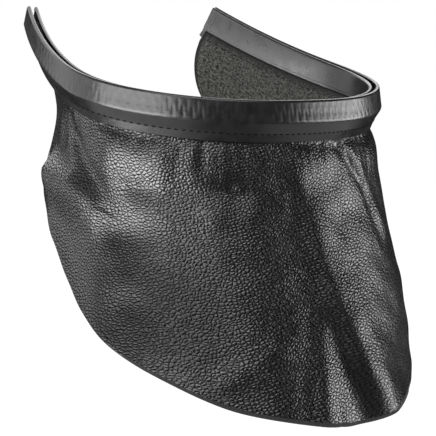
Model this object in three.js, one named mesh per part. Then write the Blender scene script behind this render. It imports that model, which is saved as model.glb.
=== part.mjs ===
// Leather chest protector for a welding helmet: a leather bib sewn behind the fin of a
// flexible edge trim, whose groove presses up over the helmet's lower edge.
// Millimetres, +Z up. The front faces -Y, and the origin is the middle of the groove's
// floor at the front centre, where the helmet's edge sits.
import * as THREE from 'three';

const { degToRad } = THREE.MathUtils;

// Centre line of the groove's floor, one half: a front arc, a corner and a long arm.
const FRONT_RADIUS = 136.5;
const FRONT_TURN = degToRad(38.8);
const CORNER_RADIUS = 60.4;
const CORNER_TURN = degToRad(65.2);
const ARM_RADIUS = 308;
const ARM_LENGTH = 87.6;
const BEND_EASE = 5.2; // length scale over which one radius passes into the next
const ARM_RISE = 54.5; // height of the arm's end over the front
const RISE_POWER = 2.48;
const TRIM_TILT = degToRad(6.9); // the trim's foot stands out further than its lips

// Trim section, measured from the middle of the groove's floor.
const TRIM_WIDTH = 7.0;
const GROOVE_WIDTH = 3.0;
const GROOVE_MOUTH = 2.2;
const LIP_HEIGHT = 11.0;
const LIP_ROUND = 0.7;
const MOUTH_DEPTH = 1.7; // from the lips' tips down to the mouth's narrowest place
const FACE_CROWN = 0.25; // swell of the outer face at mid height
const FACE_FOOT = 2.4; // the outer face ends this far below the groove's floor
const INNER_FOOT = 3.4; // the inner face ends this far below the groove's floor
const FIN_ROOT_IN = 2.75; // inner side of the fin's root, in from the groove's middle
const FIN_ROOT_DROP = 6.6;
const FIN_NECK_IN = 1.75; // outer side of the fin's neck, where it turns down to the seam
const FIN_NECK_DROP = 8.5;
const FIN_TIP_IN = 4.4;
const FIN_TIP_DROP = 13.3;
const FIN_TIP_THICKNESS = 1.2;
const FIN_KEPT_AT_END = 0.45; // the fin is trimmed back at the arm's end

// Leather bib.
const LEATHER = 1.4;
const SEAM_GAP = 0.3; // between the leather and the fin that it is sewn to
const TAB_GAP = 2; // from the trim's inner foot down to the leather's top edge
const BIB_END_INSET = 2; // the leather stops short of the trim's cut ends
const EDGE_BULGE = 3.6; // how far the free rear edge swells backwards
const EDGE_PULL = 11; // how far its lower corner is drawn forwards
const EDGE_REACH = 8; // power that keeps both near the rear edge
const FOLD_START = 6; // folds grow out of the seam over this depth

// Mesh steps: across the whole trim, and down the hanging leather.
const ACROSS_STEPS = 80;
const HANG_STEPS = 20;
const HANG_CROWDING = 1.25; // over 1 gathers the rows near the seam
const PATH_STEPS = 480;

// How the leather hangs. At each place across (share of half the trim, minus is the
// wearer's right) the columns give how far it stands out from the seam at six depths,
// and how far down it is cut.
const HANG_DEPTHS = [0, 12, 30, 60, 100, 140, 180];
const HANG_ROWS = [
  { at: -1.0, out: [-6, -13, -17, -19, -21, -23], drop: 40 },
  { at: -0.86, out: [-7, -8, 1, 4, 6, 8], drop: 56 },
  { at: -0.74, out: [-4, -1, 5, 6, 7, 8], drop: 74 },
  { at: -0.62, out: [0, 2.5, 4.5, 4, 5, 7], drop: 99 },
  { at: -0.48, out: [1.5, 3, 6, 16, 28, 40], drop: 122 },
  { at: -0.36, out: [1.5, 3, 7, 19, 33, 47], drop: 139 },
  { at: -0.25, out: [2, 4, 9.5, 21, 34, 47], drop: 151.5 },
  { at: -0.15, out: [2, 4.5, 10.5, 22, 35, 48], drop: 158 },
  { at: -0.05, out: [2, 4.5, 10.5, 21, 34, 47], drop: 163 },
  { at: 0.05, out: [2.5, 5, 11.5, 23, 35, 46], drop: 164.5 },
  { at: 0.16, out: [3, 5, 12.5, 23, 32, 40], drop: 158.5 },
  { at: 0.33, out: [4, 6, 12, 22, 28, 33], drop: 153 },
  { at: 0.48, out: [5, 7, 12, 21, 26, 30], drop: 131 },
  { at: 0.62, out: [1, 1, 4, 10, 14, 17], drop: 104 },
  { at: 0.74, out: [-2, -4, -5, -3, -1, 1], drop: 80 },
  { at: 0.86, out: [-3, -7, -10, -10, -10, -10], drop: 62 },
  { at: 1.0, out: [-4, -9, -13, -14, -15, -16], drop: 44 },
];

// Folds: each follows a line of points with share across, depth, half width and height. A
// minus height is a valley. A lean above one makes a fold's left or lower side the wider one.
const FOLDS = [
  {
    name: 'main ridge',
    lean: 0.7,
    line: [
      [-0.054, 4, 9, 1.5], [-0.009, 44, 12, 3], [0.015, 80, 13, 4], [0.08, 135, 15, 6], [0.14, 168, 16, 7],
    ],
  },
  { name: 'main valley', lean: 1, line: [[-0.005, 105, 6, 0], [0.02, 140, 8, -2.6], [0.035, 170, 10, -4]] },
  { name: 'second ridge', lean: 1, line: [[-0.02, 88, 5, 0], [-0.065, 160, 7, 2.3], [-0.07, 178, 8, 2.8]] },
  { name: 'second valley', lean: 1, line: [[-0.05, 95, 6, 0], [-0.1, 170, 9, -1.2]] },
  { name: 'crease ridge', lean: 1, line: [[0.16, 6, 6, 1], [0.3, 60, 9, 1.5]] },
  {
    name: 'corner valley',
    lean: 1,
    line: [[-0.7, 10, 5, -1], [-0.625, 21, 6, -3], [-0.545, 36, 7, -3.6], [-0.485, 58, 11, -2]],
  },
  { name: 'corner swell', lean: 1.3, line: [[-0.75, 47, 12, 7], [-0.63, 44, 10, 5], [-0.55, 49, 10, 2]] },
  { name: 'upper swell', lean: 1, line: [[-0.5, 12, 12, 1.5], [-0.38, 12, 12, 1.5]] },
  { name: 'cross dent', lean: 1.5, line: [[-0.42, 32, 8, -1.8], [-0.22, 29, 8, -1.8]] },
  { name: 'edge curl', lean: 1, line: [[-0.71, 86, 12, 4], [-0.6, 116, 12, 7]] },
  { name: 'low diagonal', lean: 1, line: [[-0.303, 142, 7, 1], [-0.145, 118, 7, 1]] },
];

const CORNER_FROM = FRONT_RADIUS * FRONT_TURN;
const ARM_FROM = CORNER_FROM + CORNER_RADIUS * CORNER_TURN;
const HALF_LENGTH = ARM_FROM + ARM_LENGTH;

// Curvature of the centre line, eased from each radius into the next.
function bendAt(length) {
  const passed = (place) => 1 / (1 + Math.exp((place - length) / BEND_EASE));
  const front = 1 / FRONT_RADIUS;
  const corner = 1 / CORNER_RADIUS;
  const arm = 1 / ARM_RADIUS;
  return front + (corner - front) * passed(CORNER_FROM) + (arm - corner) * passed(ARM_FROM);
}

// One half of the centre line in plan, by adding up short steps along its heading.
function planOfHalf() {
  const step = HALF_LENGTH / PATH_STEPS;
  const plan = [{ x: 0, y: 0, heading: 0 }];
  for (let i = 0; i < PATH_STEPS; i += 1) {
    const last = plan[i];
    const turn = bendAt((i + 0.5) * step) * step;
    const middle = last.heading + turn / 2;
    plan.push({
      x: last.x + Math.cos(middle) * step,
      y: last.y + Math.sin(middle) * step,
      heading: last.heading + turn,
    });
  }
  return plan;
}

const PLAN = planOfHalf();

// Place and axes of the trim at a share of its half length: minus on the left half.
function frameAt(share) {
  const side = share < 0 ? -1 : 1;
  const along = Math.min(Math.abs(share), 1);
  const spot = along * PATH_STEPS;
  const i = Math.min(Math.floor(spot), PATH_STEPS - 1);
  const mix = (key) => THREE.MathUtils.lerp(PLAN[i][key], PLAN[i + 1][key], spot - i);
  const heading = mix('heading');
  const slope = ((ARM_RISE * RISE_POWER) / HALF_LENGTH) * along ** (RISE_POWER - 1);
  const back = new THREE.Vector3(side * Math.cos(heading), Math.sin(heading), 0);
  const out = new THREE.Vector3(side * Math.sin(heading), -Math.cos(heading), 0);
  const up = new THREE.Vector3(-slope * back.x, -slope * back.y, 1).normalize();
  const tiltCos = Math.cos(TRIM_TILT);
  const tiltSin = Math.sin(TRIM_TILT);
  return {
    origin: new THREE.Vector3(side * mix('x'), mix('y'), ARM_RISE * along ** RISE_POWER),
    back,
    out,
    faceOut: out.clone().multiplyScalar(tiltCos).addScaledVector(up, tiltSin),
    faceUp: up.clone().multiplyScalar(tiltCos).addScaledVector(out, -tiltSin),
  };
}

function sectionPoint(frame, out, up) {
  return frame.origin.clone().addScaledVector(frame.faceOut, out).addScaledVector(frame.faceUp, up);
}

// The fin: outside from the outer face's foot over the neck to the tip, inside from root to tip.
const FACE_FOOT_POINT = new THREE.Vector2(TRIM_WIDTH / 2, -FACE_FOOT);
const FIN_NECK = new THREE.Vector2(-FIN_NECK_IN, -FIN_NECK_DROP);
const FIN_TIP = new THREE.Vector2(-FIN_TIP_IN, -FIN_TIP_DROP);
const FIN_ROOT = new THREE.Vector2(-FIN_ROOT_IN, -FIN_ROOT_DROP);
const FIN_INNER_TIP = inwards(FACE_FOOT_POINT, FIN_TIP, FIN_TIP_THICKNESS).add(FIN_TIP);

// Step of a given size square to the line from one section point to another, inwards.
function inwards(from, to, size) {
  const run = to.clone().sub(from).normalize();
  return new THREE.Vector2(run.y, -run.x).multiplyScalar(size);
}

// The trim's outline: lips, outer face, tapering fin, inner face and groove. At a cut end
// the fin's lower points are drawn back towards its neck and root.
function trimSection(finKept) {
  const half = TRIM_WIDTH / 2;
  const slot = GROOVE_WIDTH / 2;
  const mouth = GROOVE_MOUTH / 2;
  const lip = (half + mouth) / 2;
  const shoulder = LIP_HEIGHT - 3 * LIP_ROUND;
  const kept = (point, anchor) => anchor.clone().lerp(point, finKept).toArray();
  const lips = [
    [mouth, LIP_HEIGHT - MOUTH_DEPTH],
    [mouth + LIP_ROUND / 3, LIP_HEIGHT - LIP_ROUND / 2],
    [lip, LIP_HEIGHT],
    [half - LIP_ROUND / 2, LIP_HEIGHT - LIP_ROUND],
    [half, shoulder],
  ];
  const mirrored = lips.map(([out, up]) => [-out, up]).reverse();
  return [
    ...lips,
    [half + FACE_CROWN, (shoulder - FACE_FOOT) / 2],
    FACE_FOOT_POINT.toArray(),
    [half - LIP_ROUND, -FACE_FOOT - 2 * LIP_ROUND],
    FIN_NECK.toArray(),
    kept(FIN_TIP, FIN_NECK),
    kept(FIN_INNER_TIP, FIN_ROOT),
    FIN_ROOT.toArray(),
    [-FIN_ROOT_IN, -INNER_FOOT - LIP_ROUND],
    [-half, -INNER_FOOT],
    ...mirrored,
    [-slot, LIP_HEIGHT - 2 * MOUTH_DEPTH],
    [-slot, 0],
    [slot, 0],
    [slot, LIP_HEIGHT - 2 * MOUTH_DEPTH],
  ];
}

// Shares across, evenly spaced between the two ends.
function sharesAcross(end) {
  return Array.from({ length: ACROSS_STEPS + 1 }, (_, i) => end * ((2 * i) / ACROSS_STEPS - 1));
}

function geometryFrom(points, triangles) {
  const geometry = new THREE.BufferGeometry().setFromPoints(points);
  geometry.setIndex(triangles.flat());
  geometry.computeVertexNormals();
  return geometry;
}

// The trim: its section carried along the centre line, with flat cut ends.
function edgeTrimGeometry() {
  const rings = sharesAcross(1).map((share) => {
    const finKept = Math.abs(share) < 1 ? 1 : FIN_KEPT_AT_END;
    const frame = frameAt(share);
    return trimSection(finKept).map(([out, up]) => sectionPoint(frame, out, up));
  });
  const count = rings[0].length;
  const triangles = [];
  for (let ring = 0; ring < rings.length - 1; ring += 1) {
    for (let k = 0; k < count; k += 1) {
      const a = ring * count + k;
      const b = ring * count + ((k + 1) % count);
      triangles.push([a, b, a + count], [b, b + count, a + count]);
    }
  }
  const outline = trimSection(FIN_KEPT_AT_END).map(([out, up]) => new THREE.Vector2(out, up));
  const last = (rings.length - 1) * count;
  THREE.ShapeUtils.triangulateShape(outline, []).forEach(([a, b, c]) => {
    triangles.push([a, b, c], [last + a, last + c, last + b]);
  });
  return geometryFrom(rings.flat(), triangles);
}

// Smooth curve through a table's values: a cubic between each two places, with the slope
// at each place weighed from the two stretches beside it.
function smoothThrough(places, values, x) {
  const last = places.length - 1;
  const rise = (i) => (values[i + 1] - values[i]) / (places[i + 1] - places[i]);
  const slope = (i) => {
    if (i === 0) return rise(0);
    if (i === last) return rise(last - 1);
    const share = (places[i + 1] - places[i]) / (places[i + 1] - places[i - 1]);
    return rise(i - 1) * share + rise(i) * (1 - share);
  };
  const after = places.findIndex((place) => place > x);
  const i = after < 0 ? last - 1 : Math.max(after - 1, 0);
  const span = places[i + 1] - places[i];
  const t = (x - places[i]) / span;
  const t2 = t * t;
  const t3 = t2 * t;
  const ends = (2 * t3 - 3 * t2 + 1) * values[i] + (3 * t2 - 2 * t3) * values[i + 1];
  const slopes = (t3 - 2 * t2 + t) * slope(i) + (t3 - t2) * slope(i + 1);
  return ends + span * slopes;
}

// Height of one fold: a bell of the distance to the nearest stretch of its own line.
function bellAt(fold, here) {
  let nearest = Infinity;
  let bell = 0;
  for (let k = 0; k < fold.line.length - 1; k += 1) {
    const [startShare, startDepth, startWidth, startHeight] = fold.line[k];
    const [endShare, endDepth, endWidth, endHeight] = fold.line[k + 1];
    const from = new THREE.Vector2(startShare * HALF_LENGTH, startDepth);
    const run = new THREE.Vector2(endShare * HALF_LENGTH, endDepth).sub(from);
    const offset = here.clone().sub(from);
    const t = THREE.MathUtils.clamp(offset.dot(run) / run.lengthSq(), 0, 1);
    const away = offset.distanceTo(run.clone().multiplyScalar(t));
    const lean = run.cross(offset) > 0 ? fold.lean : 1 / fold.lean;
    const width = THREE.MathUtils.lerp(startWidth, endWidth, t) * lean;
    const height = THREE.MathUtils.lerp(startHeight, endHeight, t);
    if (away < nearest) {
      nearest = away;
      bell = height * Math.exp(-((away / width) ** 2));
    }
  }
  return bell;
}

// Height of all folds at a share across and a depth. They grow out of the seam.
function foldHeight(share, depth) {
  const here = new THREE.Vector2(share * HALF_LENGTH, depth);
  const grown = Math.min(depth / FOLD_START, 1);
  return grown * FOLDS.reduce((sum, fold) => sum + bellAt(fold, here), 0);
}

// The leather's outer side at one place across: the sewn tab, then the hanging sheet.
function bibColumn(share) {
  const frame = frameAt(share);
  const clear = inwards(FIN_ROOT, FIN_INNER_TIP, SEAM_GAP);
  const foot = FIN_INNER_TIP.clone().add(clear);
  const root = FIN_ROOT.clone().add(clear);
  const tab = [[-FIN_ROOT_IN - SEAM_GAP, -INNER_FOOT - TAB_GAP], root.toArray(), foot.toArray()];
  const column = tab.map(([out, up]) => sectionPoint(frame, out, up));
  const seam = column[column.length - 1];
  const places = HANG_ROWS.map((row) => row.at);
  const offsets = HANG_DEPTHS.slice(1).map((_, k) =>
    smoothThrough(places, HANG_ROWS.map((row) => row.out[k]), share));
  const drop = smoothThrough(places, HANG_ROWS.map((row) => row.drop), share);
  const edge = Math.abs(share) ** EDGE_REACH;
  for (let step = 1; step <= HANG_STEPS; step += 1) {
    const part = (step / HANG_STEPS) ** HANG_CROWDING;
    const depth = part * drop;
    const out = smoothThrough(HANG_DEPTHS, [0, ...offsets], depth) + foldHeight(share, depth);
    const back = edge * (EDGE_BULGE * 4 * part * (1 - part) - EDGE_PULL * part * part);
    const point = seam.clone().addScaledVector(frame.out, out).addScaledVector(frame.back, back);
    column.push(point.setZ(point.z - depth));
  }
  return column;
}

// Outward direction of a grid of points at one of them, from its neighbours.
function gridNormal(grid, i, j) {
  const before = grid[Math.max(i - 1, 0)][j];
  const after = grid[Math.min(i + 1, grid.length - 1)][j];
  const over = grid[i][Math.max(j - 1, 0)];
  const under = grid[i][Math.min(j + 1, grid[i].length - 1)];
  return under.clone().sub(over).cross(after.clone().sub(before)).normalize();
}

// The bib: an outer and an inner grid, one leather thickness apart, closed round the edge.
// Each four-sided face is split along its shorter diagonal, so that slanting folds run smooth.
function leatherBibGeometry() {
  const outer = sharesAcross(1 - BIB_END_INSET / HALF_LENGTH).map(bibColumn);
  const inner = outer.map((column, i) =>
    column.map((point, j) => point.clone().addScaledVector(gridNormal(outer, i, j), -LEATHER)));
  const columns = outer.length;
  const rows = outer[0].length;
  const at = (i, j) => i * rows + j;
  const behind = (i, j) => columns * rows + at(i, j);
  const points = [...outer.flat(), ...inner.flat()];
  const triangles = [];
  const quad = (a, b, c, d) => {
    const straight = points[a].distanceTo(points[c]) <= points[b].distanceTo(points[d]);
    triangles.push(...(straight ? [[a, b, c], [a, c, d]] : [[a, b, d], [b, c, d]]));
  };
  for (let i = 0; i < columns - 1; i += 1) {
    for (let j = 0; j < rows - 1; j += 1) {
      quad(at(i, j), at(i, j + 1), at(i + 1, j + 1), at(i + 1, j));
      quad(behind(i, j), behind(i + 1, j), behind(i + 1, j + 1), behind(i, j + 1));
    }
    quad(at(i, 0), at(i + 1, 0), behind(i + 1, 0), behind(i, 0));
    quad(at(i, rows - 1), behind(i, rows - 1), behind(i + 1, rows - 1), at(i + 1, rows - 1));
  }
  for (let j = 0; j < rows - 1; j += 1) {
    quad(at(0, j), behind(0, j), behind(0, j + 1), at(0, j + 1));
    quad(at(columns - 1, j), at(columns - 1, j + 1), behind(columns - 1, j + 1), behind(columns - 1, j));
  }
  return geometryFrom(points, triangles);
}

// Black moulded vinyl and black grain leather.
const vinyl = new THREE.MeshStandardMaterial({ color: 0x242424, roughness: 0.45, metalness: 0 });
const leather = new THREE.MeshStandardMaterial({ color: 0x2b2b2b, roughness: 0.6, metalness: 0 });

function piece(name, geometry, material) {
  const mesh = new THREE.Mesh(geometry, material);
  mesh.name = name;
  return mesh;
}

const protector = new THREE.Group();
protector.add(piece('edge_trim', edgeTrimGeometry(), vinyl));
protector.add(piece('leather_bib', leatherBibGeometry(), leather));

export default protector;
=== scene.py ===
# %% [markdown]
# # A leather chest protector
# The part is a bib of black grain leather that hangs from the lower edge of a welding
# helmet. A black vinyl edge trim grips that edge in its groove, and the leather is sewn
# behind the trim's fin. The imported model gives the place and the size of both. This lesson
# works each of them out again as a fine surface, dresses it, and lights it.

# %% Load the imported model
import bpy
import numpy as np
from mathutils import Matrix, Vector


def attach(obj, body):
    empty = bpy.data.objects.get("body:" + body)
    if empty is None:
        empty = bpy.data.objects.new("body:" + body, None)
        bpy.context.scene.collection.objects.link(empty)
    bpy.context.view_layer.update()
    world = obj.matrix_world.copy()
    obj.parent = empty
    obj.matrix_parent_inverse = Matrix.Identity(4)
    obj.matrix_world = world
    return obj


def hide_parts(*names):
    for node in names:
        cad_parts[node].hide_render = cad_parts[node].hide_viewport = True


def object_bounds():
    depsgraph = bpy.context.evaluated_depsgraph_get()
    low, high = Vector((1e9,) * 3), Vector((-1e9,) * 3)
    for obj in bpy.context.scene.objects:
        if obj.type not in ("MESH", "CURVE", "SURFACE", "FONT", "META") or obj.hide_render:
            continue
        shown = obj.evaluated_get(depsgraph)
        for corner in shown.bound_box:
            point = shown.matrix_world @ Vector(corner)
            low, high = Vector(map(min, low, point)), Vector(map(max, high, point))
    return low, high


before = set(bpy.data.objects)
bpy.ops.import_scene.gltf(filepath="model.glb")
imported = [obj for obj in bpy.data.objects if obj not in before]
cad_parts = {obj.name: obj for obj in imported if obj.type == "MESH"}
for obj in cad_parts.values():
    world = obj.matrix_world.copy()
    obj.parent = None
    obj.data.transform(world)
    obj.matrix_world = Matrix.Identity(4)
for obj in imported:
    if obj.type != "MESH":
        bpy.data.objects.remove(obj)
cad_box = [list(corner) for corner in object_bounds()]
print("packed box in metres:", np.round(cad_box, 4).tolist())

# %% [markdown]
# ## The camera
# A long lens looks at the part from the wearer's right and a little above. A camera is
# three directions and a place: its right, its up and the way back from what it looks at.
# They are worked out from the angles, so the view can be read off the values. The lens
# follows from how many pixels one millimetre covers at the point that is looked at.

# %% Camera
MM = 0.001
IMAGE_PIXELS = 436
SENSOR_WIDTH = 36.0
CAMERA_AZIMUTH = np.radians(-42.21)
CAMERA_ELEVATION = np.radians(5.16)
CAMERA_ROLL = np.radians(0.39)
CAMERA_DISTANCE = 1484.2
PIXELS_PER_MM = 1.6364
LOOK_AT = np.array([-2.6, 77.5, -63.8])


def camera_axes(azimuth, elevation, roll):
    """Right, up and back. Back leaves the aim at the azimuth and elevation, right is level
    and square to it, up is square to both, and the roll turns right and up about back."""
    level = np.cos(elevation)
    back = np.array([np.sin(azimuth) * level, -np.cos(azimuth) * level, np.sin(elevation)])
    right = np.array([np.cos(azimuth), np.sin(azimuth), 0.0])
    up = np.cross(back, right)
    turned_right = right * np.cos(roll) + up * np.sin(roll)
    turned_up = up * np.cos(roll) - right * np.sin(roll)
    return turned_right, turned_up, back


def place_with_axes(thing, axes, place):
    """Sets an object's matrix: its axes are the columns, and its place is the last one."""
    matrix = np.identity(4)
    matrix[:3, :3] = np.column_stack(axes)
    matrix[:3, 3] = place
    thing.matrix_world = Matrix(matrix.tolist())


scene = bpy.context.scene
camera_data = bpy.data.cameras.new("photo_camera")
camera_data.sensor_width = SENSOR_WIDTH
camera_data.lens = SENSOR_WIDTH * PIXELS_PER_MM * CAMERA_DISTANCE / IMAGE_PIXELS
camera = bpy.data.objects.new("photo_camera", camera_data)
scene.collection.objects.link(camera)
view_axes = camera_axes(CAMERA_AZIMUTH, CAMERA_ELEVATION, CAMERA_ROLL)
place_with_axes(camera, view_axes, (LOOK_AT + CAMERA_DISTANCE * view_axes[2]) * MM)
scene.camera = camera
print(f"lens {camera_data.lens:.1f} mm")

# %% [markdown]
# ## The line that everything follows
# The trim bends round the wearer's neck: a wide front, two tighter corners and two long
# arms that rise towards the ears. One line, the middle of the groove's floor, carries both
# the trim and the leather. It could be drawn as a curve object, but numbers let the leather
# use the same line. Its curvature passes softly from one radius to the next. Adding the
# curvature up gives the heading, and adding the heading up gives the plan.

# %% The groove's centre line
FRONT_RADIUS = 136.5
FRONT_TURN = np.radians(38.8)
CORNER_RADIUS = 60.4
CORNER_TURN = np.radians(65.2)
ARM_RADIUS = 308.0
ARM_LENGTH = 87.6
BEND_EASE = 5.2
ARM_RISE = 54.5
RISE_POWER = 2.48
TRIM_TILT = np.radians(6.9)
PATH_STEPS = 480
CORNER_FROM = FRONT_RADIUS * FRONT_TURN
ARM_FROM = CORNER_FROM + CORNER_RADIUS * CORNER_TURN
HALF_LENGTH = ARM_FROM + ARM_LENGTH


def running_sum(steps):
    """Adds an array up from nought, so that it has one more value than steps."""
    return np.concatenate([[0.0], np.cumsum(steps)])


def half_plan():
    """Heading, x and y along one half. The curvature is that of the front, plus a smooth
    step to the corner's, plus a smooth step to the arm's."""
    step = HALF_LENGTH / PATH_STEPS
    length = (np.arange(PATH_STEPS) + 0.5) * step
    to_corner = 1 / (1 + np.exp((CORNER_FROM - length) / BEND_EASE))
    to_arm = 1 / (1 + np.exp((ARM_FROM - length) / BEND_EASE))
    front, corner, arm = 1 / FRONT_RADIUS, 1 / CORNER_RADIUS, 1 / ARM_RADIUS
    turn = (front + (corner - front) * to_corner + (arm - corner) * to_arm) * step
    heading = running_sum(turn)
    middle = heading[:-1] + turn / 2
    return heading, running_sum(np.cos(middle) * step), running_sum(np.sin(middle) * step)


PLAN = half_plan()


def rim_axes(share):
    """Place and directions of the trim at a share of its half length, minus on the left.
    Out is level and square to the line, back runs along it towards the arm's end, and the
    face's own out and up are those of the section, tipped by the trim's tilt."""
    share = np.asarray(share, float)
    side = np.where(share < 0, -1.0, 1.0)
    along = np.minimum(np.abs(share), 1.0)
    knots = np.linspace(0, 1, PATH_STEPS + 1)
    heading, x, y = [np.interp(along, knots, values) for values in PLAN]
    level = np.zeros_like(heading)
    back = np.stack([side * np.cos(heading), np.sin(heading), level], -1)
    out = np.stack([side * np.sin(heading), -np.cos(heading), level], -1)
    slope = ARM_RISE * RISE_POWER / HALF_LENGTH * along ** (RISE_POWER - 1)
    up = np.array([0.0, 0.0, 1.0]) - slope[..., None] * back
    up /= np.linalg.norm(up, axis=-1, keepdims=True)
    origin = np.stack([side * x, y, ARM_RISE * along**RISE_POWER], -1)
    face_out = out * np.cos(TRIM_TILT) + up * np.sin(TRIM_TILT)
    face_up = up * np.cos(TRIM_TILT) - out * np.sin(TRIM_TILT)
    return {"origin": origin, "out": out, "back": back, "face_out": face_out, "face_up": face_up}


def on_section(axes, out, up):
    """Point of the section: the place, plus out along the face's out, plus up along its up."""
    return axes["origin"] + axes["face_out"] * out[..., None] + axes["face_up"] * up[..., None]


print(f"half of the trim is {HALF_LENGTH:.1f} mm long")

# %% [markdown]
# ## Meshes from arrays
# Every piece is a grid of points. One function numbers the four corners of each cell of a
# grid, and one puts points, faces and a flat map into a mesh. The flat map is in metres, so
# a pattern that is two millimetres on the real leather is two millimetres on the piece.

# %% Mesh helpers
SHARP_ANGLE = np.radians(38)


def grid_cells(index):
    """Four corners of every cell: each number, the next in its row, and the two below them."""
    corners = [index[:-1, :-1], index[:-1, 1:], index[1:, 1:], index[1:, :-1]]
    return np.stack(corners, -1).reshape(-1, 4)


def add_piece(name, points, faces, flat_map, materials, finish=None):
    """A mesh object at the origin. Points are in millimetres, the flat map has one place in
    metres for each point, and finish gives each face the number of its material."""
    mesh = bpy.data.meshes.new(name)
    mesh.from_pydata((points * MM).tolist(), [], faces)
    corners = np.empty(len(mesh.loops), dtype=np.int32)
    mesh.loops.foreach_get("vertex_index", corners)
    layer = mesh.uv_layers.new(name="flat_map")
    layer.data.foreach_set("uv", flat_map[corners].astype(np.float32).ravel())
    mesh.polygons.foreach_set("use_smooth", np.ones(len(faces), dtype=bool))
    if finish is not None:
        mesh.polygons.foreach_set("material_index", finish.astype(np.int32))
    for material in materials:
        mesh.materials.append(material)
    mesh.set_sharp_from_angle(angle=SHARP_ANGLE)
    mesh.validate()
    piece = bpy.data.objects.new(name, mesh)
    scene.collection.objects.link(piece)
    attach(piece, "root")
    print(f"{name}: {len(points)} points, {len(faces)} faces")
    return piece


print("pieces are placed at the origin, in metres")

# %% [markdown]
# ## Colours and nodes
# A hex colour is what a screen shows, and a shader wants light that adds up, so one function
# turns one into the other. One more adds a node, sets it and links it. The short ones below it
# name the steps that every material takes: arithmetic, a change of range, a noise, a pair of
# colours, a relief, and the shader itself.

# %% Colour and node helpers
def linear(hex_colour):
    """Screen value to light: a straight line near black, and a power of 2.4 above it."""
    screen = np.array([int(hex_colour[i : i + 2], 16) for i in (1, 3, 5)]) / 255
    light = np.where(screen <= 0.04045, screen / 12.92, ((screen + 0.055) / 1.055) ** 2.4)
    return (*light.tolist(), 1.0)


def add_node(tree, kind, inputs=None, **settings):
    """Adds one node. Settings go on the node, and each input is a value or a socket to link."""
    node = tree.nodes.new(kind)
    for name, value in settings.items():
        setattr(node, name, value)
    for name, value in (inputs or {}).items():
        if isinstance(value, bpy.types.NodeSocket):
            tree.links.new(value, node.inputs[name])
        else:
            node.inputs[name].default_value = value
    return node


def new_material(name):
    """An empty material and its node tree."""
    material = bpy.data.materials.new(name)
    material.use_nodes = True
    material.node_tree.nodes.clear()
    return material, material.node_tree


def add_shader(tree, inputs):
    """A principled shader with these inputs, on the material's output."""
    shader = add_node(tree, "ShaderNodeBsdfPrincipled", inputs).outputs["BSDF"]
    add_node(tree, "ShaderNodeOutputMaterial", {"Surface": shader})


def per_metre(millimetres):
    """Scale of a pattern whose repeat is this many millimetres, on coordinates in metres."""
    return 1 / (millimetres * MM)


def arithmetic(tree, operation, *values):
    """One step of arithmetic on numbers."""
    inputs = dict(enumerate(values))
    return add_node(tree, "ShaderNodeMath", inputs, operation=operation).outputs["Value"]


def vectors(tree, operation, *values, output="Vector"):
    """One step of arithmetic on vectors."""
    inputs = dict(enumerate(values))
    return add_node(tree, "ShaderNodeVectorMath", inputs, operation=operation).outputs[output]


def between(tree, value, start, end, low=0.0, high=1.0, **settings):
    """Low up to the start of a value's range, high from its end on, and even steps between."""
    inputs = {"Value": value, "From Min": start, "From Max": end, "To Min": low, "To Max": high}
    return add_node(tree, "ShaderNodeMapRange", inputs, **settings).outputs["Result"]


def noise(tree, place, millimetres, detail, output="Fac"):
    """Noise with lumps of this many millimetres, on coordinates in metres."""
    inputs = {"Vector": place, "Scale": per_metre(millimetres), "Detail": detail}
    return add_node(tree, "ShaderNodeTexNoise", inputs).outputs[output]


def two_colours(tree, share, dark, light):
    """A colour between two hex colours, by its share of the light one."""
    ramp = add_node(tree, "ShaderNodeValToRGB", {"Fac": share})
    ramp.color_ramp.elements[0].color = linear(dark)
    ramp.color_ramp.elements[1].color = linear(light)
    return ramp.outputs["Color"]


def relief(tree, height, millimetres, under=None):
    """Shading normal of a relief this many millimetres high, on top of the one under it."""
    inputs = {"Height": height, "Distance": millimetres * MM, "Strength": 1.0}
    if under is not None:
        inputs["Normal"] = under
    return add_node(tree, "ShaderNodeBump", inputs).outputs["Normal"]


print("mid grey on a screen is", round(linear("#808080")[0], 3), "of white's light")

# %% [markdown]
# ## Vinyl of the edge trim
# The trim is soft PVC, extruded black round a row of steel clips. The die leaves it satin, so
# the lamps show as broad soft bands. Handling leaves a faint cloudiness in the gloss, and the
# skin has a fine orange peel. Both are noise: one slow one in the roughness, one fine one in
# the bump.

# %% Extruded PVC
PVC_CLOUD = 7.0
PVC_PEEL = 1.1
PVC_PEEL_HEIGHT = 0.02
PVC_ROUGHNESS = (0.25, 0.34)
PVC_IOR = 1.53
# Most of a noise's values lie between these two.
NOISE_RANGE = (0.3, 0.7)

pvc, tree = new_material("extruded_black_pvc")
spot = add_node(tree, "ShaderNodeTexCoord").outputs["Object"]
cloud = noise(tree, spot, PVC_CLOUD, 2.0)
peel = noise(tree, spot, PVC_PEEL, 2.0)
pvc_inputs = {
    "Base Color": two_colours(tree, cloud, "#0b0b0b", "#141414"),
    "Roughness": between(tree, cloud, *NOISE_RANGE, *PVC_ROUGHNESS),
    "IOR": PVC_IOR,
    "Normal": relief(tree, peel, PVC_PEEL_HEIGHT),
}
add_shader(tree, pvc_inputs)
print("made", pvc.name)

# %% [markdown]
# ## Pebbles of the leather's grain
# The outside is the hair side of cowhide, tanned, dyed black and given a thin satin finish.
# Its grain is a skin of pebbles a little over two millimetres across, with creases between
# them. Cells of a Voronoi pattern are such pebbles: the distance to a cell's edge is nought in
# the crease and rises to its middle. The pattern reads the piece's flat map, so it bends with
# every fold. A slow noise bends the cells so that none is straight, and fine pores break the
# creases. On the right, where the hide is drawn over a ridge, the grain is longer.

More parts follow.
